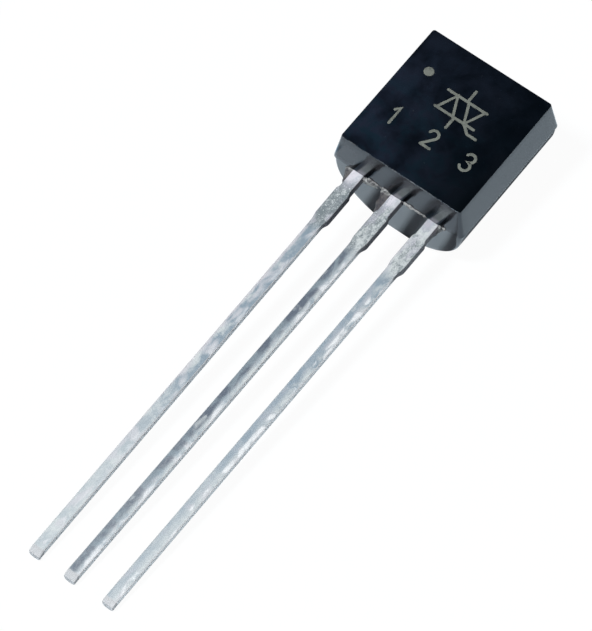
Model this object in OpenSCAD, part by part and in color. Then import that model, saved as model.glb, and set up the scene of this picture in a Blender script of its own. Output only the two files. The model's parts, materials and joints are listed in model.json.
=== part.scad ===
// Triac in a small moulded three-lead package, lying on its rounded back with its lead tips down.
// Each piece is drawn in the package's own frame and then laid down by at_rest():
// x runs across the leads, y from the parting line to the rounded back, z up from the body's
// lower end. The leads hang down in -z, and MT1, gate and MT2 follow each other along +x.

/* [Moulded body] */
// Width of the body at the parting line, where it is widest
body_w = 4.52; // [4.4:0.02:4.7]
// Height of the body between its two ends, without the leads
body_h = 4.68; // [4.5:0.02:4.9]
// Depth of the front half, from the flat face to the parting line
front_d = 1.1; // [1:0.05:1.3]
// Straight stretch of the sides behind the parting line, before the back rounds off
side_flat = 0.05; // [0.05:0.01:0.4]
// Ledge by which the front half stands out over the back half at the two sides
parting_step = 0.05; // [0.02:0.01:0.1]
// Draft of the front half's two sides, in degrees
side_draft = 10; // [7:0.5:12]
// Draft of the front half's two ends, in degrees
end_draft = 8; // [5:0.5:10]
// Draft of the back half's two ends, in degrees
back_draft = 4; // [2:0.5:6]
// Radius of the flat face's four corners
corner_r = 0.08; // [0.05:0.01:0.2]
// Radius of the body's four corners at the parting line
parting_corner_r = 0.15; // [0.1:0.01:0.25]
// Diameter of the flat spot that the ejector pin leaves on the back
pin_spot_d = 1.2; // [0.8:0.1:1.5]
// Depth of that spot below the crest of the back
pin_spot_depth = 0.05; // [0.03:0.01:0.1]

/* [Leads] */
// Distance between neighbouring leads
lead_pitch = 1.27; // [1.2:0.01:1.35]
// Width of a lead
lead_w = 0.37; // [0.34:0.01:0.44]
// Thickness of the sheet that the lead frame is stamped from
lead_t = 0.34; // [0.3:0.01:0.46]
// Length of the leads below the body
lead_l = 14.6; // [12.7:0.1:15]
// Width of a lead across the sheared stubs of the tie bar
stub_w = 0.46; // [0.45:0.01:0.6]
// Distance from the body to the stubs
stub_drop = 0.65; // [0.5:0.05:1.2]
// Length of the stubs along the lead
stub_l = 1.15; // [0.8:0.05:1.4]
// Bevel on the corners of the cut lead tips
tip_bevel = 0.06; // [0.03:0.01:0.1]
// Length of the slope that the cutter leaves on the front of a tip
tip_slope_l = 0.22; // [0.1:0.02:0.3]
// Depth of that slope at the very end
tip_slope_d = 0.12; // [0.06:0.01:0.2]

/* [Lead frame inside the body] */
// Width of the MT1 lead's bond post
mt1_post_w = 0.8; // [0.6:0.05:0.9]
// Height of the lower edge of the MT1 bond post
mt1_post_z = 1.5; // [1.2:0.05:1.8]
// Height of the MT1 bond post itself
mt1_post_h = 1.3; // [1:0.05:1.5]
// Width of the gate lead's bond post
gate_post_w = 1.1; // [0.8:0.05:1.2]
// Height of the lower edge of the gate bond post
gate_post_z = 1.15; // [0.9:0.05:1.3]
// Height of the gate bond post itself
gate_post_h = 0.8; // [0.6:0.05:1]
// Height of the flag on the MT2 lead that carries the chip
flag_h = 1.65; // [1.4:0.05:1.8]
// Clear space between the flag and the bond posts
frame_gap = 0.24; // [0.16:0.02:0.3]
// Diameter of the hole in the flag that the epoxy locks into
lock_hole_d = 0.3; // [0.2:0.05:0.35]
// Distance of that hole's centre from the two edges of the flag
lock_hole_inset = 0.28; // [0.26:0.02:0.32]
// Radius of the notches that lock a lead in the epoxy
lock_notch_r = 0.09; // [0.06:0.01:0.12]
// Height of the notches above the body's lower end
lock_notch_z = 0.6; // [0.45:0.05:0.75]

/* [Chip and wires] */
// Side of the square chip
chip_w = 1.05; // [0.9:0.05:1.15]
// Thickness of the chip
chip_t = 0.22; // [0.18:0.01:0.3]
// Thickness of the solder under the chip
solder_t = 0.04; // [0.02:0.01:0.08]
// Margin of solder round the chip
solder_margin = 0.06; // [0.03:0.01:0.1]
// Diameter of the MT1 bond wire
mt1_wire_d = 0.15; // [0.1:0.01:0.2]
// Diameter of the gate bond wire
gate_wire_d = 0.1; // [0.08:0.01:0.15]
// Rise of the MT1 wire's loop above its chord
mt1_wire_rise = 0.42; // [0.35:0.01:0.5]
// Rise of the gate wire's loop above its chord
gate_wire_rise = 0.32; // [0.28:0.01:0.42]
// Distance of the gate pad's centre from the two chip edges beside it
gate_pad_inset = 0.22; // [0.18:0.02:0.3]
// Width of a bond foot, as a multiple of its wire's diameter
bond_foot = 1.7; // [1.4:0.1:2]

/* [Hidden] */
$fn = 64;

EPOXY = [0.07, 0.07, 0.08];
TIN = [0.74, 0.75, 0.75];
SILICON = [0.35, 0.36, 0.4];
SOLDER = [0.6, 0.6, 0.6];
ALUMINIUM = [0.82, 0.82, 0.84];

// The body's two halves
back_r = body_w / 2 - parting_step;
back_d = side_flat + back_r;
back_rise = back_d * tan(back_draft);
face_w = body_w - 2 * front_d * tan(side_draft);
face_h = body_h - 2 * front_d * tan(end_draft);
// Depth to which the front half is carried into the back half, so that they are one moulding
halves_overlap = parting_step / 2;
// Thickness of the plates that the front half is spanned between
skin = 0.01;

// The lead frame: the flag reaches from the MT1 post to the outer edge of the MT2 lead
mt1_x = -lead_pitch;
gate_x = 0;
mt2_x = lead_pitch;
flag_left = mt1_x + mt1_post_w / 2 + frame_gap;
flag_right = mt2_x + lead_w / 2;
flag_z = gate_post_z + gate_post_h + frame_gap;

// The chip sits in the middle of the flag, on its front
chip_x = (flag_left + flag_right) / 2;
chip_z = flag_z + flag_h / 2;
chip_top = solder_t + chip_t;
solder_w = chip_w + 2 * solder_margin;
gate_pad = [chip_x - chip_w / 2 + gate_pad_inset, chip_z - chip_w / 2 + gate_pad_inset];
mt1_pad = [chip_x, chip_z + gate_pad_inset / 2];
mt1_bond = [mt1_x, mt1_post_z + mt1_post_h - mt1_post_w / 2];
gate_bond = [gate_x, gate_post_z + gate_post_h / 2];

// Lying down: the tilt brings the lower rim of the back and the lead tips to the same level
rest_tilt = atan2(back_d - lead_t, lead_l + back_rise);
rest_lift = lead_l * sin(rest_tilt) + lead_t * cos(rest_tilt);
rest_tip_y = tip_slope_d * sin(rest_tilt) - lead_l * cos(rest_tilt);
rest_top_y = max(body_h * cos(rest_tilt), (body_h - back_rise) * cos(rest_tilt) + back_d * sin(rest_tilt));

// Lays what was drawn in the package's frame on the floor, centred over the origin
module at_rest() {
    translate([0, -(rest_tip_y + rest_top_y) / 2, rest_lift])
        rotate([rest_tilt - 90, 0, 0])
            children();
}

// Thin upright plate of the front half, w by h with corners of radius r, at depth y
module front_plate(w, h, r, y) {
    translate([0, y, body_h / 2])
        rotate([90, 0, 0])
            linear_extrude(skin)
                offset(r)
                    square([w - 2 * r, h - 2 * r], center = true);
}

// Drafted front half with the flat face
module front_half() {
    hull() {
        $fn = 32;
        front_plate(face_w, face_h, corner_r, skin - front_d);
        front_plate(body_w, body_h, parting_corner_r, 0);
        front_plate(2 * (back_r - halves_overlap), body_h - 2 * halves_overlap, parting_corner_r, halves_overlap);
    }
}

// Outline of the back half seen from behind: a rectangle with rounded corners
module back_outline() {
    side = back_r - parting_corner_r;
    square([2 * back_r, body_h - 2 * parting_corner_r], center = true);
    square([2 * side, body_h], center = true);
    for (x = [-side, side], z = [-1, 1])
        translate([x, z * (body_h / 2 - parting_corner_r)])
            circle(parting_corner_r);
}

// Rounded back half: a D-shaped section whose two ends taper towards the back
module back_half() {
    intersection() {
        linear_extrude(body_h) {
            translate([0, side_flat])
                circle(back_r);
            translate([-back_r, 0])
                square([2 * back_r, side_flat]);
        }
        rotate([90, 0, 90])
            linear_extrude(body_w, center = true)
                polygon([[0, 0], [back_d, back_rise], [back_d, body_h - back_rise], [0, body_h]]);
        translate([0, back_d, body_h / 2])
            rotate([90, 0, 0])
                linear_extrude(back_d)
                    back_outline();
    }
}

// Round bar along the ejector pin's axis, from depth y0 to depth y1
module ejector_pin(y0, y1) {
    translate([0, y1, body_h / 2])
        rotate([90, 0, 0])
            cylinder(d = pin_spot_d, h = y1 - y0);
}

// The whole moulding as a solid, before the lead frame is taken out of it
module moulding() {
    spot_y = back_d - pin_spot_depth;
    front_half();
    difference() {
        union() {
            back_half();
            ejector_pin(back_r / 2, spot_y);
        }
        ejector_pin(spot_y, back_d + pin_spot_depth);
    }
}

// Stamps an outline drawn in x and z out of the lead-frame sheet and cuts the tip's slope
module stamped() {
    difference() {
        translate([0, lead_t, 0])
            rotate([90, 0, 0])
                linear_extrude(lead_t)
                    children();
        rotate([90, 0, 90])
            linear_extrude(body_w, center = true)
                polygon([[0, tip_slope_l - lead_l], [0, -lead_l], [tip_slope_d, -lead_l]]);
    }
}

// Outline of one lead from its bevelled tip up to height top, with tie-bar stubs and lock notches
module lead_outline(x, top) {
    half = lead_w / 2;
    translate([x, 0])
        difference() {
            union() {
                polygon([
                    [tip_bevel - half, -lead_l], [half - tip_bevel, -lead_l],
                    [half, tip_bevel - lead_l], [half, top],
                    [-half, top], [-half, tip_bevel - lead_l]
                ]);
                translate([-stub_w / 2, -stub_drop - stub_l])
                    square([stub_w, stub_l]);
            }
            for (side = [-1, 1])
                translate([side * half, lock_notch_z])
                    circle(lock_notch_r);
        }
}

module mt1_lead_frame() {
    stamped() {
        lead_outline(mt1_x, mt1_post_z + mt1_post_w / 2);
        translate([mt1_x - mt1_post_w / 2, mt1_post_z])
            square([mt1_post_w, mt1_post_h]);
    }
}

module gate_lead_frame() {
    stamped() {
        lead_outline(gate_x, gate_post_z + gate_post_h / 2);
        translate([gate_x - gate_post_w / 2, gate_post_z])
            square([gate_post_w, gate_post_h]);
    }
}

module mt2_lead_frame() {
    stamped()
        difference() {
            union() {
                lead_outline(mt2_x, flag_z + flag_h / 2);
                translate([flag_left, flag_z])
                    square([flag_right - flag_left, flag_h]);
            }
            translate([flag_right - lock_hole_inset, flag_z + flag_h - lock_hole_inset])
                circle(d = lock_hole_d);
        }
}

// Square block in the middle of the flag, side w, from depth y0 to depth y1
module chip_block(w, y0, y1) {
    translate([chip_x - w / 2, y0, chip_z - w / 2])
        cube([w, y1 - y0, w]);
}

module chip() {
    chip_block(chip_w, -chip_top, -solder_t);
}

module solder() {
    chip_block(solder_w, -solder_t, 0);
}

// The room that chip and solder take up in the epoxy, carried into the flag behind them
module chip_room() {
    chip_block(chip_w, -chip_top, lead_t / 2);
    chip_block(solder_w, -solder_t, lead_t / 2);
}

// Bond foot: a disc of wire pressed onto the surface at depth y, half of it below the surface
module foot(at, y, d) {
    translate([at[0], y, at[1]])
        rotate([90, 0, 0])
            cylinder(d = d * bond_foot, h = d, center = true);
}

// Wire that loops on one arc from a pad on the chip to a bond post, with its ends run into both
module wire_run(pad, bond, d, rise) {
    run = norm(bond - pad);
    heading = atan2(bond[1] - pad[1], bond[0] - pad[0]);
    chord = norm([run, chip_top]);
    slope = atan2(chip_top, run);
    loop_r = (chord * chord / 4 + rise * rise) / (2 * rise);
    sweep = 2 * asin(chord / 2 / loop_r);
    foot(pad, -chip_top, d);
    foot(bond, 0, d);
    // From the pad: x along the run, y away from the lead frame
    translate([pad[0], -chip_top, pad[1]])
        rotate([180, -heading, 0])
            rotate([0, 0, -slope])
                translate([chord / 2, rise - loop_r])
                    rotate([0, 0, 90 - sweep / 2])
                        rotate_extrude(angle = sweep)
                            translate([loop_r, 0])
                                circle(d = d);
}

module mt1_wire_run() {
    wire_run(mt1_pad, mt1_bond, mt1_wire_d, mt1_wire_rise);
}

module gate_wire_run() {
    wire_run(gate_pad, gate_bond, gate_wire_d, gate_wire_rise);
}

module moulded_body() {
    color(EPOXY)
        at_rest()
            difference() {
                moulding();
                mt1_lead_frame();
                gate_lead_frame();
                mt2_lead_frame();
                chip_room();
                mt1_wire_run();
                gate_wire_run();
            }
}

module mt1_lead() {
    color(TIN)
        at_rest()
            mt1_lead_frame();
}

module gate_lead() {
    color(TIN)
        at_rest()
            gate_lead_frame();
}

module mt2_lead() {
    color(TIN)
        at_rest()
            mt2_lead_frame();
}

module triac_chip() {
    color(SILICON)
        at_rest()
            chip();
}

module chip_solder() {
    color(SOLDER)
        at_rest()
            solder();
}

module mt1_wire() {
    color(ALUMINIUM)
        at_rest()
            difference() {
                mt1_wire_run();
                chip();
                mt1_lead_frame();
            }
}

module gate_wire() {
    color(ALUMINIUM)
        at_rest()
            difference() {
                gate_wire_run();
                chip();
                gate_lead_frame();
            }
}

moulded_body();
mt1_lead();
gate_lead();
mt2_lead();
triac_chip();
chip_solder();
mt1_wire();
gate_wire();
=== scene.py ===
import json
import math

import bmesh
import bpy
from bpy.props import FloatProperty, FloatVectorProperty, PointerProperty
from mathutils import Matrix, Vector, noise


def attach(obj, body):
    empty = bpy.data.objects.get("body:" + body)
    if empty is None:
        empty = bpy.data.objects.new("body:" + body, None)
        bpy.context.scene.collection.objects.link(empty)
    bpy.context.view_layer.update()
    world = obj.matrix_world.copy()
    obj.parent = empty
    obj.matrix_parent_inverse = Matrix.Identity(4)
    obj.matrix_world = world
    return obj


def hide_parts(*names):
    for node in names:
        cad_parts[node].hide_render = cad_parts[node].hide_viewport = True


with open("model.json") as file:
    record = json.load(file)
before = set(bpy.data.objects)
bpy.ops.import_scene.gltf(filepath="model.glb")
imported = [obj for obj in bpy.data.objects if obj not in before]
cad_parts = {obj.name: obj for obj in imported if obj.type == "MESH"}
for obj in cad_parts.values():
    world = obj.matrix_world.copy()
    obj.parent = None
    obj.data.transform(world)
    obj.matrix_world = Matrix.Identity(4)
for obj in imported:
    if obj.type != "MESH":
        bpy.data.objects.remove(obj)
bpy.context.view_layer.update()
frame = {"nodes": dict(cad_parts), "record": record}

bl_info = {
    "name": "Triac in a moulded package",
    "version": (1, 0, 0),
    "blender": (4, 5, 0),
    "location": "View3D > Sidebar > Triac",
    "description": "Dresses the packed triac: moulded body, tinned leads, face marks and studio",
    "category": "Object",
}

MM = 0.001

# Package frame
# x runs across the leads, y from the parting line to the round back, z up from the body's lower end.

MOUNTS = {mount["name"]: mount for mount in frame["record"]["mounts"]}
BACKWARD = -Vector(MOUNTS["flat_face"]["axis"]).normalized()
UPWARD = -Vector(MOUNTS["lead_row"]["axis"]).normalized()
ACROSS = BACKWARD.cross(UPWARD).normalized()


def package_to_row(origin):
    """The matrix that takes package points to the row frame."""
    turned = Matrix((ACROSS, BACKWARD, UPWARD)).transposed()
    return Matrix.Translation(origin) @ turned.to_4x4()


def package_box(node, place):
    """Lowest and highest corner of a CAD node in the package frame."""
    back = place.inverted()
    points = [back @ corner.co for corner in frame["nodes"][node].data.vertices]
    return [Vector([pick(row) for row in zip(*points)]) for pick in (min, max)]


LEAD_MIDDLE = package_to_row(Vector(MOUNTS["lead_row"]["pos_m"]))
LEAD_T = 2 * package_box("gate_lead", LEAD_MIDDLE)[1].y
PLACE = LEAD_MIDDLE @ Matrix.Translation((0, -LEAD_T / 2, 0))
BODY_LOW, BODY_HIGH = package_box("moulded_body", PLACE)
GATE_LOW, GATE_HIGH = package_box("gate_lead", PLACE)
MT1_LOW, MT1_HIGH = package_box("mt1_lead", PLACE)


def length(name, description, default):
    """A length that a user may change."""
    return FloatProperty(
        name=name, description=description, default=default, min=0, precision=6, unit="LENGTH"
    )


def angle(name, description, degrees):
    """An angle that a user may change."""
    turn = math.radians(degrees)
    return FloatProperty(name=name, description=description, default=turn, subtype="ANGLE")


def lengths(name, description, values, subtype="NONE"):
    """Three lengths that a user may change, given in millimetres."""
    return FloatVectorProperty(
        name=name,
        description=description,
        default=tuple(value * MM for value in values),
        precision=6,
        subtype=subtype,
        unit="LENGTH",
    )


def colour(name, description, default):
    """A colour that a user may change."""
    return FloatVectorProperty(
        name=name, description=description, default=default, min=0, max=1, subtype="COLOR"
    )


class BodySizes(bpy.types.PropertyGroup):
    """Sizes and colours of the moulded body and its resin flash."""

    width: length("Width", "Across the leads at the parting line", BODY_HIGH.x - BODY_LOW.x)
    height: length("Height", "Along the leads at the parting line", BODY_HIGH.z - BODY_LOW.z)
    front_depth: length("Front depth", "From the parting line to the flat face", -BODY_LOW.y)
    back_depth: length("Back depth", "From the parting line to the round back", BODY_HIGH.y)
    side_flat: length("Side flat", "Straight side behind the parting line", 0.05 * MM)
    ledge: length("Ledge", "Step of the front half's sides over the back half", 0.05 * MM)
    lip: length("Lip", "Depth of that step's rounding", 0.008 * MM)
    side_draft: angle("Side draft", "Taper of the front half's sides", 10)
    end_draft: angle("End draft", "Taper of the front half's ends", 8)
    back_draft: angle("Back draft", "Taper of the back half's ends", 4)
    corner: length("Corner", "Radius of the flat face's corners", 0.08 * MM)
    parting_corner: length("Parting corner", "Radius of the corners at the parting line", 0.15 * MM)
    edge: length("Edge", "Radius along the edge of the flat face", 0.009 * MM)
    rim: length("Rim", "Radius along the rims of the round back", 0.07 * MM)
    spot: length("Pin spot", "Diameter of the flat left by the ejector pin", 1.2 * MM)
    spot_depth: length("Pin spot depth", "How far that flat lies below the back", 0.05 * MM)
    sheen: colour("Sheen", "Tint of what the epoxy mirrors", (0.72, 0.87, 1.0))
    dark: colour("Dark", "Flat face where it is darkest", (0.0003, 0.0008, 0.0014))
    pale: colour("Pale", "Flat face in its paler clouds", (0.0072, 0.0094, 0.0172))
    teal: colour("Teal", "Flat face in its greener clouds", (0.0040, 0.0090, 0.0150))
    moulded: colour("Moulded", "Epoxy on the sides and ends", (0.017, 0.0155, 0.017))
    dust: colour("Dust", "Specks on the flat face", (0.05, 0.055, 0.06))
    # Painted highlight along the flat face's lower edge
    edge_highlight: colour("Worn", "Lower edge of the flat face where it is worn", (0.12, 0.125, 0.125))
    # Painted reflection of the lit floor, brightening the lower end beside pin 1
    left_glow: colour("Haze", "Lower end beside pin 1", (0.042, 0.042, 0.045))
    # Painted reflection of each lead's bright band, where it leaves the body
    exit_reflection: colour("Smear", "Metal dust at the places where the leads come out", (0.22, 0.19, 0.23))
    # Painted reflection of the lead: a pale streak above each lead
    lead_reflection: colour("Streak", "Pale streak above each lead", (0.068, 0.074, 0.070))
    # Painted reflection of the lead's dark sides and shadow: dark bands beside each streak
    flow: colour("Flow", "Dark flow marks beside that streak", (0.003, 0.003, 0.004))
    film_dark: colour("Dark film", "Resin at the parting line where it is thick", (0.05, 0.048, 0.05))
    film_pale: colour("Pale film", "Resin at the parting line where it is torn", (0.19, 0.19, 0.185))
    web_dark: colour("Dark web", "Resin beside the leads where it is thick", (0.012, 0.010, 0.016))
    web_pale: colour("Pale web", "Resin beside the leads where it is torn", (0.055, 0.05, 0.05))


class LeadSizes(bpy.types.PropertyGroup):
    """Sizes and colours of the three tinned leads."""

    pitch: length("Pitch", "From one lead to the next", -(MT1_LOW.x + MT1_HIGH.x) / 2)
    width: length("Width", "Across a lead", 0.37 * MM)
    thickness: length("Thickness", "Through a lead", GATE_HIGH.y - GATE_LOW.y)
    reach: length("Reach", "From the body's lower end to the tips", -GATE_LOW.z)
    stub_width: length("Stub width", "Across a lead at the cut tie bar", 0.46 * MM)
    stub_drop: length("Stub drop", "From the body down to the tie bar", 0.65 * MM)
    stub_reach: length("Stub reach", "Along a lead at the tie bar", 1.15 * MM)
    seat: length("Seat", "How far the smooth lead goes into the body", 0.3 * MM)
    edge: length("Edge", "Radius along the edges of a lead's front", 0.04 * MM)
    roll: length("Die roll", "Radius left by the stamping along a lead's back edges", 0.16 * MM)
    tip_bevel: length("Tip bevel", "Bevel at the corners of the tips", 0.015 * MM)
    tip_slope: length("Tip slope", "Length of the sloped cut at the tips", 0.22 * MM)
    tip_drop: length("Tip drop", "Depth of the sloped cut at the tips", 0.12 * MM)
    ripple: length("Ripple", "How far the plating wanders from flat", 0.0018 * MM)
    lean: lengths("Lean", "How far the tips of pins 1, 2 and 3 lean across", (0.052, -0.019, 0.002))
    start: lengths("Start", "How far aside pins 1, 2 and 3 come out", (-0.056, 0.003, 0.018))
    trim: lengths("Trim", "How much of the reach was cut off pins 1, 2 and 3", (0.06, 0.07, 0.095))
    bright: colour("Bright", "Tin where it is brightest", (0.444, 0.460, 0.459))
    dull: colour("Dull", "Tin where it has dulled", (0.135, 0.155, 0.165))
    slate: colour("Slate", "Tin where its plating is thin", (0.092, 0.108, 0.137))
    steel: colour("Steel", "Tin in its bluish clouds", (0.182, 0.224, 0.262))
    lilac: colour("Lilac", "Tin in its pinkish clouds", (0.415, 0.41, 0.43))
    sheared: colour("Sheared", "Sides that the stamping die left bare", (0.034, 0.028, 0.038))
    # Painted light: tin on the sides lightened as if lit from the floor
    side_light: colour("Flank", "Tin on the sides below the tie bar", (0.52, 0.506, 0.503))
    fleck: colour("Fleck", "Bright flecks at the tie bar", (0.68, 0.69, 0.69))
    tarnish: colour("Tarnish", "Pinkish clouds at the tie bar", (0.40, 0.38, 0.43))
    pale_slate: colour("Pale slate", "Thin plating where it is paler", (0.165, 0.197, 0.222))
    last_slate: colour("Last slate", "Thin plating on pin 3", (0.20, 0.25, 0.30))
    # Painted highlight to the right of a lead's middle
    painted_highlight: colour("Gleam", "Gleam to the right of a lead's middle", (0.62, 0.62, 0.62))
    rubbed: colour("Rubbed", "Left edge of pin 1", (0.47, 0.43, 0.45))
    clean: colour("Clean", "Clean band at the body", (0.47, 0.445, 0.475))
    last_clean: colour("Last clean", "Clean band of pin 3", (0.32, 0.302, 0.33))
    cut: colour("Cut", "Metal at the cut tips", (0.31, 0.305, 0.31))


class MarkSizes(bpy.types.PropertyGroup):
    """Sizes and colours of the plain marks on the flat face."""

    stroke: length("Stroke", "Width of a stroke", 0.085 * MM)
    lift: length("Lift", "How far the ink stands on the face", 0.003 * MM)
    dot: length("Dot", "Diameter of the dot beside pin 1", 0.3 * MM)
    digit_height: length("Digit height", "Height of the pin numbers", 0.58 * MM)
    digit_line: length("Digit line", "Height of the pin numbers' foot on the body", 1.3 * MM)
    symbol_middle: length("Symbol middle", "Height of the symbol's middle on the body", 2.85 * MM)
    symbol_size: length("Symbol size", "Height of the symbol with its two ends", 1.45 * MM)
    ink: colour("Ink", "Colour of the marks", (0.095, 0.10, 0.085))
    thin_ink: colour("Thin ink", "Marks where the epoxy shows through", (0.04275, 0.046, 0.0391))


class StudioSizes(bpy.types.PropertyGroup):
    """Camera and floor."""

    azimuth: angle("Azimuth", "Camera's turn round the part", 31.795)
    elevation: angle("Elevation", "Camera's height above the floor", 56.522)
    roll: angle("Roll", "Camera's lean to the left", 6.672)
    aim: lengths("Aim", "Middle of the picture", (0.02501, 0.23957, 1.62594), "TRANSLATION")
    distance: length("Distance", "From the camera to the aim", 105.232 * MM)
    lens: FloatProperty(
        name="Lens",
        description="Focal length on a 36 mm sensor along the picture's long side, in millimetres",
        default=217.769,
        min=1,
    )
    floor_size: length("Floor size", "Half the width of the floor", 3.0)
    floor: colour("Floor", "Colour of the floor", (0.59, 0.655, 0.70))
    whiteness: FloatProperty(
        name="Whiteness",
        description="How far shadows on the floor are lifted to white where it is seen directly",
        default=0.96,
        min=0,
        max=1,
        subtype="FACTOR",
    )


# Node trees in plain arithmetic


class Field:
    """A value or colour that changes over a surface: one output socket with Python's arithmetic."""

    def __init__(self, tree, socket):
        self.tree = tree
        self.socket = socket

    def maths(self, operation, first, second):
        """One Math node of two values."""
        return self.tree.node("ShaderNodeMath", {"operation": operation}, {0: first, 1: second})

    def __add__(self, other):
        return self.maths("ADD", self, other)

    __radd__ = __add__

    def __sub__(self, other):
        return self.maths("SUBTRACT", self, other)

    def __rsub__(self, other):
        return self.maths("SUBTRACT", other, self)

    def __mul__(self, other):
        return self.maths("MULTIPLY", self, other)

    __rmul__ = __mul__


class Finish:
    """A material or world being made: its node tree and one way to add a node."""

    def __init__(self, owner, target):
        owner.use_nodes = True
        self.nodes = owner.node_tree
        self.target = self.nodes.nodes[target]

    def node(self, kind, settings=None, sockets=None, output=0):
        """Adds a node with its settings and inputs, and gives one of its outputs."""
        made = self.nodes.nodes.new(kind)
        for name, value in (settings or {}).items():
            if name == "stops":
                ramp = made.color_ramp
                while len(ramp.elements) < len(value):
                    ramp.elements.new(0.5)
                for element, (place, tone) in zip(ramp.elements, value):
                    element.position = place
                    element.color = tone
            else:
                setattr(made, name, value)
        for key, value in (sockets or {}).items():
            self.feed(made.inputs[key], value)
        return Field(self, made.outputs[output])

    def feed(self, socket, value):
        """Links a field to an input, or sets the input to a plain value."""
        if isinstance(value, Field):
            self.nodes.links.new(value.socket, socket)
        else:
            socket.default_value = value

    def put(self, **sockets):
        """Sets the shader's own sockets, by name with underscores for spaces."""
        for name, value in sockets.items():
            self.feed(self.target.inputs[name.replace("_", " ")], value)

    def package_point(self):
        """Where a point of the surface is in the package frame, in millimetres."""
        inverse = PLACE.inverted()
        sockets = {
            "Vector": self.node("ShaderNodeTexCoord", output="Object"),
            "Location": inverse.translation / MM,
            "Rotation": inverse.to_euler(),
            "Scale": (1 / MM, 1 / MM, 1 / MM),
        }
        return self.node("ShaderNodeMapping", sockets=sockets)

    def stretched(self, point, along):
        """A point with its axes scaled, so that a pattern runs along one of them."""
        return self.node("ShaderNodeVectorMath", {"operation": "MULTIPLY"}, {0: point, 1: along})

    def cloud(self, point, scale, detail=2.0, roughness=0.5, distortion=0.0):
        """Soft noise from 0 to 1."""
        sockets = {
            "Vector": point,
            "Scale": scale,
            "Detail": detail,
            "Roughness": roughness,
            "Distortion": distortion,
        }
        return self.node("ShaderNodeTexNoise", sockets=sockets)

    def cells(self, point, scale):
        """How far a point is from the middle of its speck."""
        sockets = {"Vector": point, "Scale": scale}
        return self.node("ShaderNodeTexVoronoi", sockets=sockets, output="Distance")

    def between(self, value, low, high):
        """A smooth step from 0 at low to 1 at high."""
        sockets = {"Value": value, "From Min": low, "From Max": high}
        return self.node("ShaderNodeMapRange", {"interpolation_type": "SMOOTHSTEP"}, sockets)

    def mixed(self, share, first, second):
        """Two colours mixed by a share from 0 to 1."""
        a, b = [tone if isinstance(tone, Field) else opaque(tone) for tone in (first, second)]
        return self.node("ShaderNodeMix", {"data_type": "RGBA"}, {0: share, 6: a, 7: b}, 2)

    def pins(self, x, pitch):
        """The nearest lead as -1, 0 or 1, and how far to the right of its middle a point is."""
        pin = self.node("ShaderNodeMath", {"operation": "ROUND"}, {0: x * (1 / pitch)})
        return pin, x - pin * pitch

    def axes(self, point):
        """The x, y and z of a point as three values."""
        split = self.node("ShaderNodeSeparateXYZ", sockets={0: point})
        return [Field(self, socket) for socket in split.socket.node.outputs]

    def sideways(self):
        """How far the surface faces across the leads, from 0 to 1."""
        normal = self.node("ShaderNodeNewGeometry", output="Normal")
        pair = {0: normal, 1: ACROSS}
        across = self.node("ShaderNodeVectorMath", {"operation": "DOT_PRODUCT"}, pair, "Value")
        return across * across

    def bump(self, height, depth):
        """A normal from a height field, with its depth in metres."""
        sockets = {"Strength": 1.0, "Distance": depth, "Height": height}
        return self.node("ShaderNodeBump", sockets=sockets)


def new_finish(name):
    """A material with an empty plan on its Principled shader."""
    material = bpy.data.materials.new(name)
    return material, Finish(material, "Principled BSDF")


def opaque(tone):
    """A colour with full alpha."""
    return (tone[0], tone[1], tone[2], 1.0)


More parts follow.
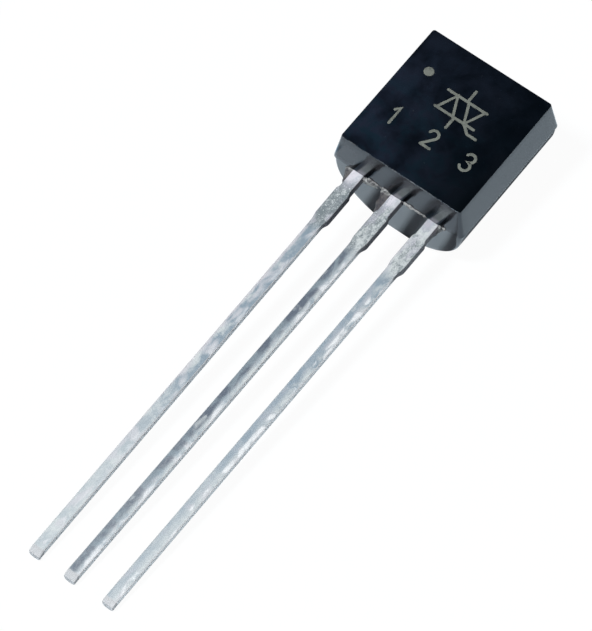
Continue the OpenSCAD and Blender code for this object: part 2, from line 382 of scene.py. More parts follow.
def black_epoxy():
    """Moulded epoxy: near black and glossy at the ends, satin on the flat face, with painted shade
    across the face, a painted highlight at its lower edge and painted reflections on the lower end.
    """
    sizes = bpy.context.scene.triac_body
    pitch = bpy.context.scene.triac_leads.pitch / MM
    face = -sizes.front_depth / MM
    face_foot = sizes.front_depth * math.tan(sizes.end_draft) / MM
    material, finish = new_finish("black_epoxy")
    between = finish.between
    mixed = finish.mixed
    cloud = finish.cloud
    point = finish.package_point()
    x, y, z = finish.axes(point)
    clouds = cloud(point, 0.9, 3.0, 0.55, 0.4)
    teal = cloud(point, 2.1, 4.0, 0.6, 0.5)
    grain = cloud(point, 22.0, 3.0, 0.6)
    scuff = cloud(finish.stretched(point, (1.0, 1.0, 0.35)), 5.0, 4.0, 0.65)
    on_face = 1 - between(y, face + 0.004, face + 0.02)
    near_face = 1 - between(y, face + 0.01, face + 0.035)
    # Flat face: clouds, specks, a painted light fall-off that leaves it paler towards the left and
    # bottom, and a painted highlight in patches along its lower edge
    # Painted light: the face is paler towards the left and bottom, as if the light fell that way
    painted_light_falloff = 0.48 - 0.25 * x - 0.055 * z + 0.048 * x * z
    low_down = 1 - 0.75 * between(z, 1.5, 3.6)
    tone = mixed(low_down * between(teal, 0.42, 0.62), sizes.pale, sizes.teal)
    shade = painted_light_falloff * (0.25 + 1.5 * between(0.6 * clouds + 0.4 * teal, 0.32, 0.68))
    flat = mixed(shade, sizes.dark, tone)
    specks = 1 - between(finish.cells(point, 3.2), 0.02, 0.075)
    specks = specks * between(clouds, 0.45, 0.6)
    flat = mixed(specks * 0.25, flat, sizes.dust)
    # Painted highlight: a pale line in patches along the flat face's lower edge, where its rounding
    # would catch the light
    low_edge = 1 - between(z, face_foot + 0.005, face_foot + 0.03)
    painted_edge_highlight = near_face * low_edge * between(scuff, 0.40, 0.62)
    flat = mixed(painted_edge_highlight * 0.5, flat, sizes.edge_highlight)
    # Lower end, all painted light: a painted floor reflection brightening it beside pin 1, and at
    # each lead a painted reflection of the lead, bright where it leaves the body, a pale streak above
    # it and two dark bands beside it
    aside = finish.pins(x, pitch)[1]
    slant = aside + 0.45 * y
    at_lead = 1 - between(slant * slant, 0.006, 0.024)
    front_half = 1 - between(y, 0.0, 0.01)
    low_end = 1 - between(z, 0.10, 0.16)
    # Painted reflection of the lead in the glossy end, right where it leaves the body
    painted_exit_reflection = at_lead * (between(y + 0.12 * scuff, -0.20, -0.03) * front_half) * low_end
    # Painted reflection: dark bands either side of each streak, mirroring the lead's dark sides and
    # shadow
    left_mark = slant + 0.215
    right_mark = slant - 0.20
    marks = 2 - between(left_mark * left_mark, 0.001, 0.018)
    marks = marks - between(right_mark * right_mark, 0.001, 0.012)
    # How far up the lower end the painted reflections of each lead run
    reach = between(y + 0.5 * (scuff - 0.5), -0.95, -0.35) * front_half
    reach = reach * (1 - between(z, 0.16, 0.22)) * (1 - near_face)
    flow = marks * reach
    # Painted reflection: the lower end is brighter beside pin 1, where it mirrors the lit floor
    painted_left_glow = (1 - between(x, -1.9, -0.5)) * low_end * (1 - between(y, -0.1, 0.3))
    moulded = mixed(painted_left_glow * 0.6, sizes.moulded, sizes.left_glow)
    moulded = mixed(painted_exit_reflection * 0.7, moulded, sizes.exit_reflection)
    # Painted reflection of the lead as a pale streak
    moulded = mixed(at_lead * reach * 0.6, moulded, sizes.lead_reflection)
    # Painted dark reflection bands
    moulded = mixed(flow * 0.9, moulded, sizes.flow)
    finish.put(
        Base_Color=mixed(on_face, moulded, flat),
        # Metallic darkens what the painted dark reflection bands mirror
        Metallic=flow * 0.8,
        Roughness=0.11 + near_face * (0.07 + 0.06 * between(clouds, 0.35, 0.7)),
        Normal=finish.bump(0.7 * grain + 0.5 * scuff, 0.0005 * MM),
        IOR=1.5,
        Specular_Tint=opaque(sizes.sheen),
    )
    return material


def resin_flash():
    """Thin resin squeezed out at the parting line: torn pale edges over dark webs."""
    sizes = bpy.context.scene.triac_body
    material, finish = new_finish("resin_flash")
    point = finish.package_point()
    height = finish.axes(point)[2]
    torn = finish.cloud(point, 9.0, 4.0, 0.65)
    torn_share = finish.between(torn, 0.40, 0.60)
    film = finish.mixed(torn_share, sizes.film_dark, sizes.film_pale)
    web = finish.mixed(torn_share, sizes.web_dark, sizes.web_pale)
    finish.put(
        Base_Color=finish.mixed(1 - finish.between(height, -0.10, -0.05), film, web),
        Roughness=0.45 + 0.25 * torn,
        Normal=finish.bump(torn, 0.006 * MM),
    )
    return material


def tin_plating():
    """Tin over a stamped lead: mottled crystals, thin slate strips and a clean band at the body."""
    sizes = bpy.context.scene.triac_leads
    end = -sizes.reach / MM
    material, finish = new_finish("tin_plating")
    between = finish.between
    mixed = finish.mixed
    cloud = finish.cloud
    point = finish.package_point()
    x, _, z = finish.axes(point)
    drawn = finish.stretched(point, (1.0, 1.0, 0.6))
    patches = cloud(drawn, 2.6, 4.0, 0.55, 0.5)
    crystals = cloud(drawn, 9.0, 5.0, 0.72, 0.4)
    grit = cloud(point, 17.0, 3.0, 0.65)
    tint = cloud(finish.stretched(point, (1.0, 1.0, 0.45)), 3.4, 2.0, 0.5, 0.4)
    pin, aside = finish.pins(x, sizes.pitch / MM)
    first = 1 - between(pin, -0.9, -0.1)
    last = between(pin, 0.1, 0.9)
    inner = 1 - first - last
    sideways = finish.sideways()
    # Zones along a lead
    clean = between(z + 0.5 * crystals + 0.4 * patches, -0.05, 0.25)
    clean = clean * (1 - 0.55 * between(aside + 0.3 * (crystals - 0.5), 0.00, 0.09))
    stub = between(z + 0.5 * (patches - 0.5), -2.35, -1.85) * (1 - clean)
    worn_end = 1 - between(z, -11.5, -6.5)
    tip = 1 - between(z, end + 0.24, end + 0.32)
    # Speckled zone at the tie bar
    mottle = 0.30 * patches + 0.40 * crystals + 0.30 * grit + 0.030 * first - 0.060 * last
    dull_share = between(mottle, 0.40, 0.55)
    speckled = mixed(dull_share, sizes.bright, sizes.dull)
    speckled = mixed(0.8 * between(grit, 0.58, 0.67), speckled, sizes.fleck)
    speckled = mixed(0.4 * between(tint, 0.48, 0.64), speckled, sizes.tarnish)
    # Drawn zone below it: bluish and pinkish clouds, a strip of thin plating and a painted highlight
    bluish = 0.65 * patches + 0.35 * crystals
    bluish = bluish + first * (1 - 0.7 * worn_end) * (0.07 + 0.3 * aside)
    steel_share = between(bluish, 0.38, 0.62) * (1 - (0.5 - 0.35 * inner) * worn_end)
    base = mixed(steel_share, sizes.bright, sizes.steel)
    base = mixed(0.8 * between(tint, 0.46, 0.66), base, sizes.lilac)
    edge_wander = 0.24 * (patches - 0.5) + 0.14 * (crystals - 0.5)
    strip = 1 - between(aside + edge_wander, -0.055, 0.095)
    strip = strip * between(tint, 0.22, 0.40) * (0.55 + 0.9 * crystals) * (1 - tip)
    strip = strip * (inner * (1.03 - 0.22 * worn_end) + last * (0.60 - 0.25 * worn_end))
    slate = mixed(between(patches, 0.42, 0.6), sizes.slate, sizes.pale_slate)
    slate = mixed(0.8 * last, slate, sizes.last_slate)
    base = mixed(strip, base, slate)
    # Painted highlight: bright patches to the right of each lead's middle
    painted_highlight = between(0.5 * tint + 0.5 * patches, 0.50, 0.58) * between(aside, 0.01, 0.08)
    base = mixed(painted_highlight * (0.25 + 0.5 * last + 0.3 * inner), base, sizes.painted_highlight)
    # Both zones together, then painted light on the sides, pin 1's left edge, clean band, tip and
    # bare sides
    base = mixed(stub, base, speckled)
    # Painted light: surfaces facing sideways below the tie bar are paler, standing in for light
    # bounced from the floor
    painted_side_light = between(sideways, 0.08, 0.35) * (1 - stub)
    base = mixed(0.7 * painted_side_light, base, sizes.side_light)
    left_edge = 1 - between(aside, -0.16, -0.11)
    base = mixed(0.5 * first * left_edge * (1 - stub), base, sizes.rubbed)
    clean_tone = mixed(last, sizes.clean, sizes.last_clean)
    blotch = 0.45 + 0.5 * between(0.5 * crystals + 0.5 * grit, 0.42, 0.56)
    base = mixed(clean * blotch, base, clean_tone)
    base = mixed(tip * 0.8, base, sizes.cut)
    dark_side = between(sideways, 0.45, 0.8) * (1 - 0.45 * crystals) * (stub + clean)
    base = mixed(dark_side, base, sizes.sheared)
    bare = (1 - 0.6 * clean) * (1 - 0.8 * dark_side) * (1 - 0.7 * tip)
    finish.put(
        Base_Color=base,
        Metallic=(0.38 - 0.08 * dull_share) * bare,
        Roughness=0.52 + 0.12 * dull_share * stub + 0.2 * clean + 0.3 * dark_side + 0.25 * tip,
        Normal=finish.bump(patches + 0.6 * crystals + 0.15 * grit, 0.007 * MM),
        Specular_IOR_Level=0.25,
    )
    return material


def mark_ink():
    """Pale ink: thin and patchy, so that the epoxy shows through in places."""
    sizes = bpy.context.scene.triac_marks
    material, finish = new_finish("mark_ink")
    point = finish.package_point()
    patches = finish.cloud(point, 4.5, 4.0, 0.6)
    speckle = finish.cloud(point, 30.0, 2.0, 0.6)
    thin = finish.between(0.6 * patches + 0.4 * speckle, 0.44, 0.66)
    finish.put(
        Base_Color=finish.mixed(thin, sizes.ink, sizes.thin_ink),
        Roughness=0.55 + 0.2 * thin,
        Normal=finish.bump(speckle, 0.001 * MM),
    )
    return material


def inner_finish(name, first, second, scale, metallic, rough):
    """A finish for a piece inside the body: two tones in fine clouds."""
    material, finish = new_finish(name)
    point = finish.package_point()
    clouds = finish.cloud(point, scale, 4.0, 0.6, 0.3)
    share = finish.between(clouds, 0.35, 0.65)
    finish.put(
        Base_Color=finish.mixed(share, first, second),
        Metallic=metallic,
        Roughness=rough + 0.12 * share,
        Normal=finish.bump(clouds, 0.002 * MM),
    )
    return material


# Mesh tools

WELD = 1e-8
SHARP_ANGLE = math.radians(38)
# Which way the corners of a ring lie, in order
RING_CORNERS = ((1, 1), (-1, 1), (-1, -1), (1, -1))


def rounded_ring(half_w, half_h, radii, corner_steps, side_steps):
    """Points round a rectangle with rounded corners, always as many, so that rings can be joined.

    The first radius is for the two far corners, the second for the two near ones."""
    corners = []
    for quarter, (side, end) in enumerate(RING_CORNERS):
        radius = max(min(radii[0 if end > 0 else 1], half_w, half_h), 0.0)
        corner = []
        for step in range(corner_steps + 1):
            turn = math.radians(90 * quarter + 90 * step / corner_steps)
            x = side * (half_w - radius) + radius * math.cos(turn)
            y = end * (half_h - radius) + radius * math.sin(turn)
            corner.append(Vector((x, y)))
        corners.append(corner)
    points = []
    for corner, following in zip(corners, corners[1:] + corners[:1]):
        points.extend(corner)
        for step in range(1, side_steps):
            points.append(corner[-1].lerp(following[0], step / side_steps))
    return points


def skin(shape, rings, close_end=True):
    """Joins rings of points into a skin, with a face over its start and, where wanted, its end."""
    rows = [[shape.verts.new(point) for point in ring] for ring in rings]
    count = len(rows[0])
    for row, following in zip(rows, rows[1:]):
        for i in range(count):
            j = (i + 1) % count
            shape.faces.new((row[i], row[j], following[j], following[i]))
    shape.faces.new(rows[0][::-1])
    if close_end:
        shape.faces.new(rows[-1])


def mesh_of(name, shape):
    """A mesh from a shape, which is used up."""
    mesh = bpy.data.meshes.new(name)
    shape.to_mesh(mesh)
    shape.free()
    return mesh


def add_object(name, data):
    """A new object in the scene."""
    made = bpy.data.objects.new(name, data)
    bpy.context.scene.collection.objects.link(made)
    return made


def add_piece(name, shape, material, node=None):
    """Makes a piece of the object from a shape in the package frame."""
    bmesh.ops.remove_doubles(shape, verts=shape.verts, dist=WELD)
    bmesh.ops.dissolve_degenerate(shape, edges=shape.edges, dist=WELD)
    bmesh.ops.recalc_face_normals(shape, faces=shape.faces)
    mesh = mesh_of(name, shape)
    mesh.transform(PLACE)
    if not mesh.polygons:
        raise RuntimeError(f"{name} has no faces")
    mesh.shade_smooth()
    mesh.set_sharp_from_angle(angle=SHARP_ANGLE)
    mesh.materials.append(material)
    piece = add_object(name, mesh)
    weighted = piece.modifiers.new("even_faces", "WEIGHTED_NORMAL")
    weighted.keep_sharp = True
    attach(piece, "root")
    if node:
        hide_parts(node)


# Moulded body

# Where sections lie: on the face, round its edge from an angle in degrees, at the lip, on the back
FACE_SHARES = (0.04, 0.3, 0.6, 0.85, 0.96)
EDGE_STEPS = 5
EDGE_START = 15
FRONT_STEPS = 6
LIP_SHARES = (0.35, 0.8, 1.0)
BACK_STEPS = 40
# How far the lip is ragged, how large its teeth are and how far back they go
RAGGED = 0.002 * MM
RAGGED_SIZE = 0.12 * MM
RAGGED_DEPTH = 0.03 * MM
SPOT_SIDES = 96
SPOT_CUT = 0.4 * MM


def body_sections(sizes):
    """Sections from the flat face to the round back: depth, half width, half height and corner."""
    half_w = sizes.width / 2
    half_h = sizes.height / 2
    back_w = half_w - sizes.ledge
    front = sizes.front_depth
    face_w = half_w - front * math.tan(sizes.side_draft)
    face_h = half_h - front * math.tan(sizes.end_draft)
    growth = sizes.parting_corner - sizes.corner
    edge = sizes.edge

    def front_section(run, inset, corner):
        wide = face_w + (half_w - face_w) * run - inset
        tall = face_h + (half_h - face_h) * run - inset
        return front * (run - 1), wide, tall, corner

    sections = []
    for share in FACE_SHARES:
        sections.append((-front, face_w * share, face_h * share, sizes.corner * share))
    for step in range(EDGE_STEPS + 1):
        turn = math.radians(EDGE_START + (90 - EDGE_START) * step / EDGE_STEPS) if step else 0.0
        inset = edge * (1 - math.sin(turn))
        run = edge * (1 - math.cos(turn)) / front
        sections.append(front_section(run, inset, sizes.corner - inset))
    for step in range(1, FRONT_STEPS + 1):
        share = edge / front
        run = share + (1 - share) * step / FRONT_STEPS
        sections.append(front_section(run, 0.0, sizes.corner + growth * run))
    radius = sizes.back_depth - sizes.side_flat
    slope = math.tan(sizes.back_draft)
    for share in LIP_SHARES:
        depth = sizes.lip * share
        wide = half_w - sizes.ledge * share**2
        sections.append((depth, wide, half_h - slope * depth, sizes.parting_corner))
    for step in range(BACK_STEPS + 1):
        turn = math.radians(90 * step / BACK_STEPS)
        depth = sizes.side_flat + radius * math.sin(turn)
        tall = half_h - slope * depth
        hidden = depth - (sizes.back_depth - sizes.rim)
        if hidden > 0:
            tall -= sizes.rim - math.sqrt(max(sizes.rim**2 - hidden**2, 0.0))
        corner = sizes.parting_corner + (sizes.rim - sizes.parting_corner) * min(turn * 3, 1.0)
        sections.append((depth, back_w * math.cos(turn), tall, corner))
    return sections


def moulded_body_shape(sizes):
    """The moulding as one skin, with a slightly ragged parting lip."""
    middle = sizes.height / 2
    rings = []
    for depth, wide, tall, corner in body_sections(sizes):
        ring = []
        for point in rounded_ring(wide, tall, (corner, corner), 8, 14):
            spot = Vector((point.x, depth, point.y + middle))
            spread = 1.0
            if 0 <= depth < RAGGED_DEPTH:
                spread -= RAGGED * (0.5 + noise.noise(spot / RAGGED_SIZE)) / sizes.width
            ring.append(Vector((point.x * spread, depth, point.y * spread + middle)))
        rings.append(ring)
    shape = bmesh.new()
    skin(shape, rings, close_end=False)
    return shape


def pin_end(sizes, raised):
    """The ejector pin's end as a short rod, to fill up to the spot or to cut it flat."""
    top = sizes.back_depth - sizes.spot_depth
    radius = sizes.spot / 2
    rings = []
    for depth in (top / 2, top) if raised else (top, top + SPOT_CUT):
        ring = []
        for step in range(SPOT_SIDES):
            turn = 2 * math.pi * step / SPOT_SIDES
            up = sizes.height / 2 + radius * math.sin(turn)
            ring.append(Vector((radius * math.cos(turn), depth, up)))
        rings.append(ring)
    shape = bmesh.new()
    skin(shape, rings)
    bmesh.ops.recalc_face_normals(shape, faces=shape.faces)
    return add_object("pin_end", mesh_of("pin_end", shape))


def with_pin_spot(shape, sizes):
    """The moulding with the flat round spot that the ejector pin leaves on its back."""
    faces = len(shape.faces)
    bmesh.ops.remove_doubles(shape, verts=shape.verts, dist=WELD)
    bmesh.ops.recalc_face_normals(shape, faces=shape.faces)
    moulding = add_object("moulding", mesh_of("moulding", shape))
    rods = [pin_end(sizes, True), pin_end(sizes, False)]
    for rod, operation in zip(rods, ("UNION", "DIFFERENCE")):
        cut = moulding.modifiers.new(operation.lower(), "BOOLEAN")
        cut.operation = operation
        cut.solver = "EXACT"
        cut.object = rod
    graph = bpy.context.evaluated_depsgraph_get()
    result = bpy.data.meshes.new_from_object(moulding.evaluated_get(graph))
    made = bmesh.new()
    made.from_mesh(result)
    for extra in [moulding] + rods:
        bpy.data.objects.remove(extra, do_unlink=True)
    if len(made.faces) < faces / 2:
        raise RuntimeError("the ejector pin spot could not be cut")
    return made


class TRIAC_OT_moulded_body(bpy.types.Operator):
    """Moulds the epoxy body with its flat face, parting ledge and round back"""

    bl_idname = "triac.moulded_body"
    bl_label = "Moulded body"

    def execute(self, context):
        sizes = context.scene.triac_body
        shape = with_pin_spot(moulded_body_shape(sizes), sizes)
        add_piece("body_moulding", shape, black_epoxy(), "moulded_body")
        return {"FINISHED"}


# Leads

LEADS = ("mt1_lead", "gate_lead", "mt2_lead")
# Ramps at the stub's top and foot, and how far they drift
STUB_TOP = 0.12 * MM
STUB_FOOT = 0.30 * MM
STUB_DRIFT = 0.10 * MM
# Ripple of the sides: seed, size and share
WANDERS = ((7.0, 0.9 * MM, 1.0), (9.0, 0.3 * MM, 0.5))
SWELL_SIZE = 0.28 * MM
SWELL_SHARE = 0.7
RING_STEP = 0.05 * MM
# Small edge round the end of a tip, and how wide the end is inside it
TIP_EDGE = 0.012 * MM
TIP_SHARE = 0.93
OVERLAP = 0.02 * MM


def ease(value):
    """A smooth step from 0 to 1."""
    value = min(max(value, 0.0), 1.0)
    return value * value * (3 - 2 * value)


def lead_ring(sizes, z, middle, pin):
    """One section of a lead: the tie-bar stub, the cut tip, its lean and the plating's ripple."""
    tip = z + sizes.reach
    top = -sizes.stub_drop
    foot = top - sizes.stub_reach
    widening = (sizes.stub_width - sizes.width) / 2
    halves = []
    for side in (-1, 1):
        drift = STUB_DRIFT * noise.noise(Vector((pin * 3.1, side * 5.3, 0.7)))
        share = ease((z - foot - drift) / STUB_FOOT + 0.5) * ease((top + drift - z) / STUB_TOP + 0.5)
        half = sizes.width / 2 + widening * share
        for seed, size, weight in WANDERS:
            half += noise.noise(Vector((pin, side * seed, z / size))) * sizes.ripple * weight
        half -= max(sizes.tip_bevel - tip + sizes.trim[pin - 1], 0.0)
        halves.append(half)
    left, right = halves
    run = min(max(-z / sizes.reach, 0.0), 1.0)
    lean = sizes.start[pin - 1] * (1 - run) + sizes.lean[pin - 1] * run
    centre_x = middle + (right - left) / 2 + lean
    front = sizes.tip_drop * max(1 - tip / sizes.tip_slope, 0.0)
    half_t = (sizes.thickness - front) / 2
    sharp = ease((z - foot) / STUB_FOOT + 0.5)
    roll = sizes.roll * (1 - sharp) + sizes.edge * sharp
    ring = []
    for point in rounded_ring((left + right) / 2, half_t, (roll, sizes.edge), 5, 5):
        spot = Vector((centre_x + point.x, front + half_t + point.y, z))
        swell = noise.noise(spot / SWELL_SIZE + Vector((pin * 11.0, 0, 0)))
        outward = Vector((point.x, point.y, 0)).normalized()
        ring.append(spot + outward * swell * sizes.ripple * SWELL_SHARE)
    return ring


def add_inner_end(shape, node, seat):
    """Takes the part of a CAD lead that lies inside the body into the mesh."""
    inner = bmesh.new()
    inner.from_mesh(frame["nodes"][node].data)
    bmesh.ops.transform(inner, matrix=PLACE.inverted(), verts=inner.verts)
    bmesh.ops.remove_doubles(inner, verts=inner.verts, dist=WELD)
    cut = bmesh.ops.bisect_plane(
        inner,
        geom=inner.verts[:] + inner.edges[:] + inner.faces[:],
        plane_co=(0, 0, seat),
        plane_no=(0, 0, -1),
        clear_outer=True,
    )
    rim = [edge for edge in cut["geom_cut"] if isinstance(edge, bmesh.types.BMEdge)]
    bmesh.ops.holes_fill(inner, edges=rim)
    spare = mesh_of("inner_end", inner)
    shape.from_mesh(spare)
    bpy.data.meshes.remove(spare)


def lead_shape(sizes, node, middle, pin):
    """A lead from its tip to its end inside the body."""
    end_z = sizes.trim[pin - 1] - sizes.reach
    stations = [end_z + TIP_EDGE]
    while stations[-1] < sizes.seat:
        stations.append(stations[-1] + RING_STEP)
    rings = [lead_ring(sizes, z, middle, pin) for z in stations]
    centre = sum(rings[0], Vector()) / len(rings[0])
    end = []
    for point in rings[0]:
        inward = centre + (point - centre) * TIP_SHARE
        inward.z = end_z
        end.append(inward)
    shape = bmesh.new()
    skin(shape, [end] + rings)
    add_inner_end(shape, node, sizes.seat - OVERLAP)
    return shape


class TRIAC_OT_leads(bpy.types.Operator):
    """Stamps and tins the three leads"""

    bl_idname = "triac.leads"
    bl_label = "Tinned leads"

    def execute(self, context):
        sizes = context.scene.triac_leads
        plating = tin_plating()
        for pin, node in enumerate(LEADS, 1):
            shape = lead_shape(sizes, node, (pin - 2) * sizes.pitch, pin)
            add_piece(f"tinned_{node}", shape, plating, node)
        return {"FINISHED"}


# Resin flash

# Webs: place of the lead in pitches, side of it, reach and spread in millimetres, and seed
WEBS = (
    (-1, -1, 0.55, 0.30, 21.0),
    (-1, 1, 0.07, 0.46, 24.0),
    (0, -1, 0.78, 0.32, 27.0),
    (1, 1, 0.45, 0.12, 33.0),
)
WEB_STEPS = 18
RIDGE_STEP = 0.012 * MM
RIDGE_END = 0.25 * MM
ROOT = 0.03 * MM


def flash_line(shape, start, end, seed):
    """A torn ridge of resin along the lower parting edge, from one x to another."""
    steps = max(int((end - start) / RIDGE_STEP), 2)
    rings = []
    for i in range(steps + 1):
        x = start + (end - start) * i / steps
        fade = ease(8 * i / steps) * ease(8 * (steps - i) / steps)
        coarse = noise.noise(Vector((x / (0.20 * MM), seed, 0.3)))
        fine = noise.noise(Vector((x / (0.045 * MM), seed, 1.7)))
        tall = (0.006 + fade * max(0.036 + 0.075 * coarse + 0.026 * fine, 0.0)) * MM
        wide = (0.010 + fade * max(0.042 + 0.070 * coarse + 0.030 * fine, 0.0)) * MM
        middle = 0.004 * MM * coarse
        profile = [
            (middle - wide, ROOT),
            (middle - 0.7 * wide, -0.6 * tall),
            (middle, -tall),
            (middle + 0.8 * wide, -0.5 * tall),
            (middle + wide, ROOT),
        ]
        rings.append([Vector((x, y, z)) for y, z in profile])
    skin(shape, rings)


def flash_web(shape, sizes, middle, side, reach, spread, seed):
    """A web of resin left in the corner between a lead's side and the body's lower end."""
    rings = []
    for i in range(WEB_STEPS + 1):
        run = i / WEB_STEPS
        z = ROOT - (reach + ROOT) * run
        torn = 1 + 0.35 * noise.noise(Vector((run * 5, seed, 2.1)))
        out = spread * (1 - run) ** 0.6 * torn + 0.004 * MM
        inner = middle + side * (sizes.width / 2 - 0.05 * MM)
        outer = middle + side * (sizes.width / 2 + out)
        low = (0.03 + 0.05 * run) * MM
        high = sizes.thickness - (0.03 + 0.08 * run) * MM
        shoulder = outer - side * 0.3 * out
        profile = [
            (inner, low),
            (shoulder, low),
            (outer, (2 * low + high) / 3),
            (outer, (low + 2 * high) / 3),
            (shoulder, high),
            (inner, high),
        ]
        rings.append([Vector((x, y, z)) for x, y in profile])
    skin(shape, rings)


class TRIAC_OT_flash(bpy.types.Operator):
    """Leaves the torn resin at the parting line and beside the leads"""

    bl_idname = "triac.flash"
    bl_label = "Resin flash"

    def execute(self, context):
        sizes = context.scene.triac_leads
        pitch = sizes.pitch
        clear = sizes.width / 2 + OVERLAP
        shape = bmesh.new()
        flash_line(shape, clear - pitch, -clear, 4.0)
        flash_line(shape, clear, pitch - clear, 9.0)
        flash_line(shape, pitch + clear, pitch + clear + RIDGE_END, 15.0)
        for place, side, reach, spread, seed in WEBS:
            flash_web(shape, sizes, place * pitch, side, reach * MM, spread * MM, seed)
        add_piece("resin_flash", shape, resin_flash())
        return {"FINISHED"}


# Marks on the flat face

CAP_STEPS = 7
SYMBOL_ASIDE = 0.12 * MM
# Dot's place from the body's middle in pitches, and above the symbol's middle in symbol sizes
DOT_PLACE = (-1.06, 0.32)
DOT_RUN = 0.01 * MM
# How much higher each stroke lies than the last, so that crossing strokes don't coincide
STROKE_RISE = 0.06


def round_cap(end, along, half):
    """Points of the half circle that ends a stroke."""
    across = Vector((-along.y, along.x))
    points = []
    for step in range(1, CAP_STEPS):
        turn = math.pi / 2 - math.pi * step / CAP_STEPS
        points.append(end + (along * math.cos(turn) + across * math.sin(turn)) * half)
    return points


def ribbon(shape, path, stroke, face, lift):
    """One stroke of ink along a path of x and z, with round ends."""
    half = stroke / 2
    lefts = []
    rights = []
    ways = []
    for i, point in enumerate(path):
        before = path[max(i - 1, 0)]
        after = path[min(i + 1, len(path) - 1)]
        arriving = (point - before).normalized() if point != before else (after - point).normalized()
        leaving = (after - point).normalized() if after != point else arriving
        along = (arriving + leaving).normalized()
        across = Vector((-along.y, along.x))
        stretch = half / max(across.dot(Vector((-arriving.y, arriving.x))), 0.5)
        lefts.append(point + across * stretch)
        rights.append(point - across * stretch)
        ways.append(along)
    outline = lefts + round_cap(path[-1], ways[-1], half)
    outline += rights[::-1] + round_cap(path[0], -ways[0], half)
    low = [shape.verts.new((p.x, -face + lift, p.y)) for p in outline]
    high = [shape.verts.new((p.x, -face - lift, p.y)) for p in outline]
    count = len(outline)
    for i in range(count):
        j = (i + 1) % count
        shape.faces.new((low[i], low[j], high[j], high[i]))
    n = len(path)
    far = 2 * n + CAP_STEPS - 2
    for row in (low, high):
        for i in range(n - 1):
            shape.faces.new((row[i], row[i + 1], row[far - i - 1], row[far - i]))
        shape.faces.new(row[n - 1 : n + CAP_STEPS])
        shape.faces.new([row[0]] + row[far:])


def arc(centre, radius, start, end, steps):
    """Points of an arc, with its angles in degrees."""
    points = []
    for step in range(steps + 1):
        turn = math.radians(start + (end - start) * step / steps)
        points.append(centre + Vector((math.cos(turn), math.sin(turn))) * radius)
    return points


def digit_paths(digit):
    """Strokes of a plain 1, 2 or 3 of height 1, with its foot at height 0 and its middle at x 0."""
    if digit == 1:
        return [[Vector((-0.16, 0.78)), Vector((0.04, 1)), Vector((0.04, 0))]]
    if digit == 2:
        foot = [Vector((-0.27, 0)), Vector((0.27, 0))]
        return [arc(Vector((0, 0.75)), 0.25, 170, -35, 12) + foot[:1], foot]
    upper = arc(Vector((0, 0.76)), 0.24, 160, -90, 14)
    lower = arc(Vector((0, 0.26)), 0.26, 90, -160, 14)
    return [upper + lower[1:]]


def symbol_paths():
    """Strokes of the schematic symbol of a triac of height 1, about its middle."""
    bar = 0.46
    gap = 0.22
    gate = ((0.5, 1), (0.9, 1.7), (1.35, 1.7))
    strokes = [
        [Vector((-bar, gap)), Vector((bar, gap))],
        [Vector((-bar, -gap)), Vector((bar, -gap))],
        [Vector((0, gap)), Vector((0, 0.5))],
        [Vector((0, -gap)), Vector((0, -0.5))],
        [Vector((bar * share, -gap * drop)) for share, drop in gate],
    ]
    for side in (-1, 1):
        middle = side * bar * 0.5
        corners = ((-0.42, side), (0, -side), (0.42, side))
        strokes.append([Vector((middle + bar * share, gap * rise)) for share, rise in corners])
    return strokes


class TRIAC_OT_marks(bpy.types.Operator):
    """Prints the dot at pin 1, the pin numbers and the symbol on the flat face"""

    bl_idname = "triac.marks"
    bl_label = "Face marks"

    def execute(self, context):
        sizes = context.scene.triac_marks
        face = context.scene.triac_body.front_depth
        pitch = context.scene.triac_leads.pitch
        shape = bmesh.new()
        strokes = []
        for digit in (1, 2, 3):
            foot = Vector(((digit - 2) * pitch, sizes.digit_line))
            for path in digit_paths(digit):
                strokes.append([foot + point * sizes.digit_height for point in path])
        middle = Vector((SYMBOL_ASIDE, sizes.symbol_middle))
        for path in symbol_paths():
            strokes.append([middle + point * sizes.symbol_size for point in path])
        for i, path in enumerate(strokes):
            ribbon(shape, path, sizes.stroke, face, sizes.lift * (1 + STROKE_RISE * i))
        rise = sizes.symbol_middle + DOT_PLACE[1] * sizes.symbol_size
        dot = Vector((DOT_PLACE[0] * pitch, rise))
        ribbon(shape, [dot, dot + Vector((DOT_RUN, 0))], sizes.dot, face, sizes.lift)
        add_piece("face_marks", shape, mark_ink())
        return {"FINISHED"}


# Pieces inside the body

# Finishes: two tones, scale of the clouds, metallic and roughness
INNER_FINISHES = {
    "silicon": ((0.05, 0.055, 0.07), (0.10, 0.11, 0.13), 9.0, 0.35, 0.2),
    "solder": ((0.42, 0.43, 0.45), (0.6, 0.6, 0.6), 8.0, 0.9, 0.4),
    "drawn_aluminium": ((0.75, 0.76, 0.77), (0.6, 0.6, 0.61), 14.0, 1.0, 0.3),
}
INNER_PIECES = {
    "triac_chip": "silicon",
    "chip_solder": "solder",
    "mt1_wire": "drawn_aluminium",
    "gate_wire": "drawn_aluminium",
}


class TRIAC_OT_inner_pieces(bpy.types.Operator):
    """Finishes the chip, its solder and the bond wires"""

    bl_idname = "triac.inner_pieces"
    bl_label = "Chip, solder and bond wires"

    def execute(self, context):
        made = {name: inner_finish(name, *values) for name, values in INNER_FINISHES.items()}
        for node, name in INNER_PIECES.items():
            slots = frame["nodes"][node].data.materials
            slots.clear()
            slots.append(made[name])
        return {"FINISHED"}


# Studio

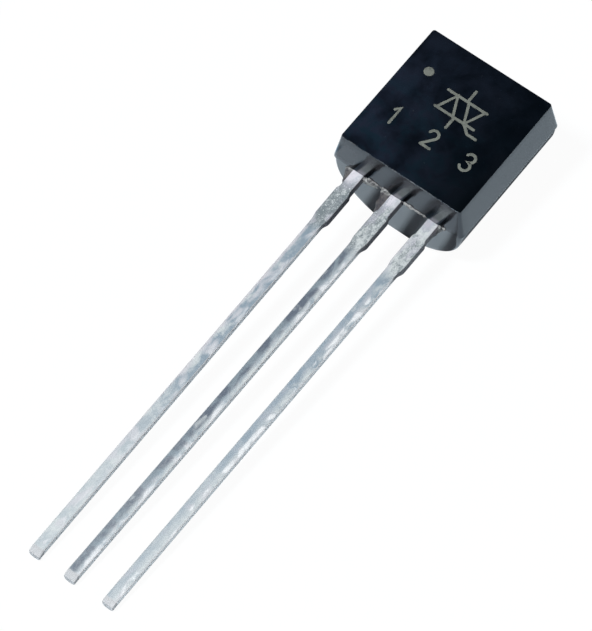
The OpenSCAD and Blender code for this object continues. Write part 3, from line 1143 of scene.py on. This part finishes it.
# Soft boxes: name, direction, distance and size in metres, power and tone
SOFT_BOXES = (
    ("key_box", (-0.11, -0.48, 0.85), 0.40, (0.05, 0.05), 2.8, (0.94, 0.98, 1.0)),
    ("right_box", (0.85, 0.10, 0.42), 0.30, (0.2, 0.14), 0.10, (0.94, 0.98, 1.0)),
    ("left_box", (-0.85, -0.30, 0.42), 0.30, (0.2, 0.14), 0.08, (0.92, 0.97, 1.0)),
    ("back_box", (0.10, 0.90, 0.42), 0.30, (0.24, 0.14), 0.10, (0.94, 0.98, 1.0)),
)
# Sky: height from the horizon to overhead, and tone
SKY = (
    (0.0, (0.95, 0.96, 0.97, 1.0)),
    (0.30, (0.80, 0.82, 0.84, 1.0)),
    (0.62, (0.20, 0.22, 0.25, 1.0)),
    (0.85, (0.02, 0.035, 0.05, 1.0)),
)
SKY_STRENGTH = 0.55


def aimed(direction, roll=0.0):
    """Turn of a camera or light that looks back along a direction, leaning to the left by roll."""
    back = direction.normalized()
    right = Vector((0, 0, 1)).cross(back).normalized()
    up = back.cross(right)
    leaning = up * math.cos(roll) - right * math.sin(roll)
    level = right * math.cos(roll) + up * math.sin(roll)
    return Matrix((level, leaning, back)).transposed()


def soft_box(name, direction, away, size, power, tone):
    """A soft area light that looks at the part."""
    light = bpy.data.lights.new(name, "AREA")
    light.shape = "RECTANGLE"
    light.size, light.size_y = size
    light.energy = power
    light.color = tone
    box = add_object(name, light)
    place = Vector(direction).normalized() * away
    box.matrix_world = Matrix.Translation(place) @ aimed(place).to_4x4()
    box.visible_camera = False


def add_floor(sizes):
    """A plain pale floor under the part."""
    half = sizes.floor_size
    mesh = bpy.data.meshes.new("floor")
    corners = [(-half, -half, 0), (half, -half, 0), (half, half, 0), (-half, half, 0)]
    mesh.from_pydata(corners, [], [(0, 1, 2, 3)])
    material, finish = new_finish("floor_paper")
    finish.put(Base_Color=opaque(sizes.floor), Roughness=0.9)
    glow = finish.node("ShaderNodeEmission", sockets={"Color": (1.0, 1.0, 1.0, 1.0), "Strength": 1.0})
    seen = finish.node("ShaderNodeLightPath", output="Is Camera Ray")
    blend = finish.node(
        "ShaderNodeMixShader",
        sockets={0: sizes.whiteness * seen, 1: Field(finish, finish.target.outputs[0]), 2: glow},
    )
    finish.feed(finish.nodes.nodes["Material Output"].inputs["Surface"], blend)
    mesh.materials.append(material)
    floor = add_object("floor", mesh)


def add_camera(sizes):
    """The camera at the photograph's angle."""
    turn = sizes.azimuth
    rise = sizes.elevation
    level = math.cos(rise)
    back = Vector((math.sin(turn) * level, -math.cos(turn) * level, math.sin(rise)))
    camera = bpy.data.cameras.new("camera")
    camera.sensor_width = 36.0
    camera.lens = sizes.lens
    camera.clip_start = 0.005
    camera.clip_end = 20.0
    holder = add_object("camera", camera)
    place = Matrix.Translation(Vector(sizes.aim) + back * sizes.distance)
    holder.matrix_world = place @ aimed(back, sizes.roll).to_4x4()
    bpy.context.scene.camera = holder


def add_sky():
    """A studio sky: bright low down, dark and cool overhead."""
    world = bpy.data.worlds.new("studio")
    bpy.context.scene.world = world
    finish = Finish(world, "Background")
    direction = finish.node("ShaderNodeTexCoord", output="Generated")
    height = finish.axes(direction)[2]
    tone = finish.node("ShaderNodeValToRGB", {"stops": SKY}, {0: height})
    finish.put(Color=tone, Strength=SKY_STRENGTH)


class TRIAC_OT_studio(bpy.types.Operator):
    """Sets up the floor, the lights and the camera"""

    bl_idname = "triac.studio"
    bl_label = "Studio"

    def execute(self, context):
        sizes = context.scene.triac_studio
        add_floor(sizes)
        add_camera(sizes)
        add_sky()
        for box in SOFT_BOXES:
            soft_box(*box)
        context.scene.view_settings.view_transform = "Standard"
        return {"FINISHED"}


# Sidebar


class TRIAC_PT_panel(bpy.types.Panel):
    """Lists the steps and their sizes"""

    bl_idname = "TRIAC_PT_panel"
    bl_label = "Triac"
    bl_space_type = "VIEW_3D"
    bl_region_type = "UI"
    bl_category = "Triac"

    def draw(self, context):
        for step in STEPS:
            self.layout.operator(step.bl_idname)
        for name, group in GROUPS.items():
            column = self.layout.column(align=True)
            for key in group.__annotations__:
                column.prop(getattr(context.scene, name), key)


GROUPS = {
    "triac_body": BodySizes,
    "triac_leads": LeadSizes,
    "triac_marks": MarkSizes,
    "triac_studio": StudioSizes,
}
STEPS = (
    TRIAC_OT_moulded_body,
    TRIAC_OT_leads,
    TRIAC_OT_flash,
    TRIAC_OT_marks,
    TRIAC_OT_inner_pieces,
    TRIAC_OT_studio,
)
CLASSES = tuple(GROUPS.values()) + STEPS + (TRIAC_PT_panel,)


def register():
    """Registers the classes and hangs the sizes on the scene."""
    for kind in CLASSES:
        bpy.utils.register_class(kind)
    for name, group in GROUPS.items():
        setattr(bpy.types.Scene, name, PointerProperty(type=group))


def unregister():
    """Takes the sizes and the classes away again."""
    for name in GROUPS:
        delattr(bpy.types.Scene, name)
    for kind in reversed(CLASSES):
        bpy.utils.unregister_class(kind)


def main():
    register()
    bpy.ops.triac.moulded_body()
    bpy.ops.triac.leads()
    bpy.ops.triac.flash()
    bpy.ops.triac.marks()
    bpy.ops.triac.inner_pieces()
    bpy.ops.triac.studio()


if __name__ == "__main__":
    main()
